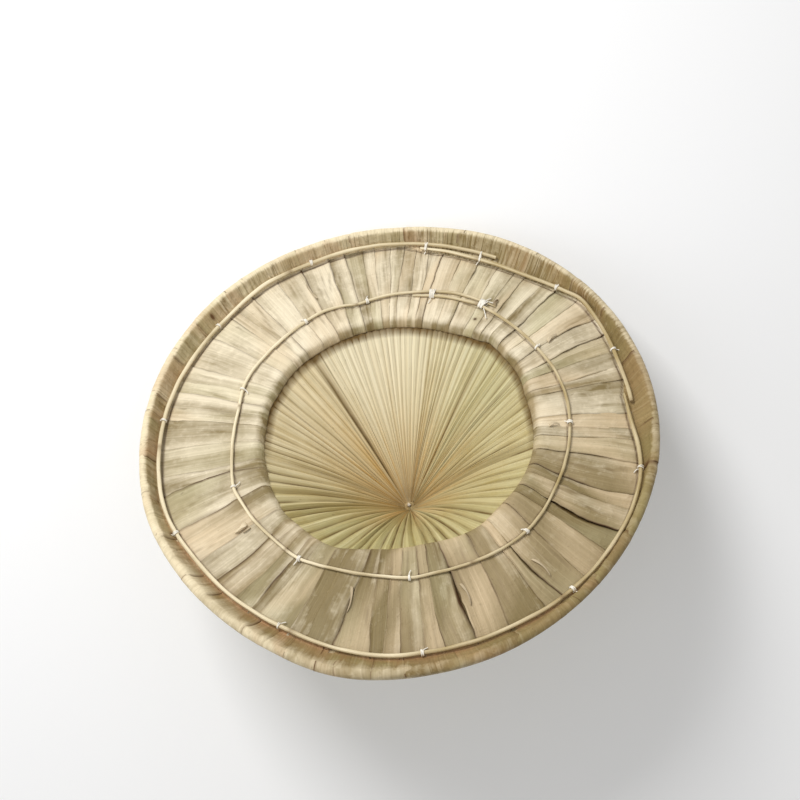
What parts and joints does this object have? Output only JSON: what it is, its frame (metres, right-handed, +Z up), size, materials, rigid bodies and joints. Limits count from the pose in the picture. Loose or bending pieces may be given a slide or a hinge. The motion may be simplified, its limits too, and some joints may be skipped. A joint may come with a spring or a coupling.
{
  "type": "salakot hat",
  "caption": "Wide conical palm-leaf sun hat lying upside down: a pleated pointed crown, a brim of lapped leaf strips, a leaf-bound rim, and cane hoops tied on with thread.",
  "frame": {"origin": "middle of the bounding box, on the table that the upturned hat lies on", "axes": "+Z is up from the table, out of the head opening. The hat leans on its crown's stub (towards -Y) and on the edge of its rim that is furthest towards +Y. +X is to the right when looking down on the hat with +Y away."},
  "size_m": [0.3976, 0.339, 0.2288],
  "materials": {
    "fan_leaf": "dry pleated fan-palm leaf",
    "leaf_strips": "dry flat leaf strips with fine lengthwise veins",
    "rim_leaf": "dry folded leaf, olive brown",
    "stalk": "dry brown leaf stalk",
    "cane": "split cane, smooth and slightly glossy",
    "thread": "twisted white thread"
  },
  "bodies": {
    "root": {"fan_leaf": "fan_leaf", "brim_strips": "leaf_strips", "rim_binding": "rim_leaf", "stalk_stub": "stalk", "apex_knot": "thread", "outer_hoop_long": "cane", "outer_hoop_short": "cane", "inner_hoop": "cane", "outer_tie_01": "thread", "outer_tie_02": "thread", "outer_tie_03": "thread", "outer_tie_04": "thread", "outer_tie_05": "thread", "outer_tie_06": "thread", "outer_tie_07": "thread", "outer_tie_08": "thread", "outer_tie_09": "thread", "outer_tie_10": "thread", "outer_tie_11": "thread", "outer_tie_12": "thread", "inner_tie_01": "thread", "inner_tie_02": "thread", "inner_tie_03": "thread", "inner_tie_04": "thread", "inner_tie_05": "thread", "inner_tie_06": "thread", "inner_tie_07": "thread", "inner_tie_08": "thread", "inner_tie_09": "thread", "inner_tie_10": "thread", "inner_tie_11": "thread"}
  },
  "joints": []
}
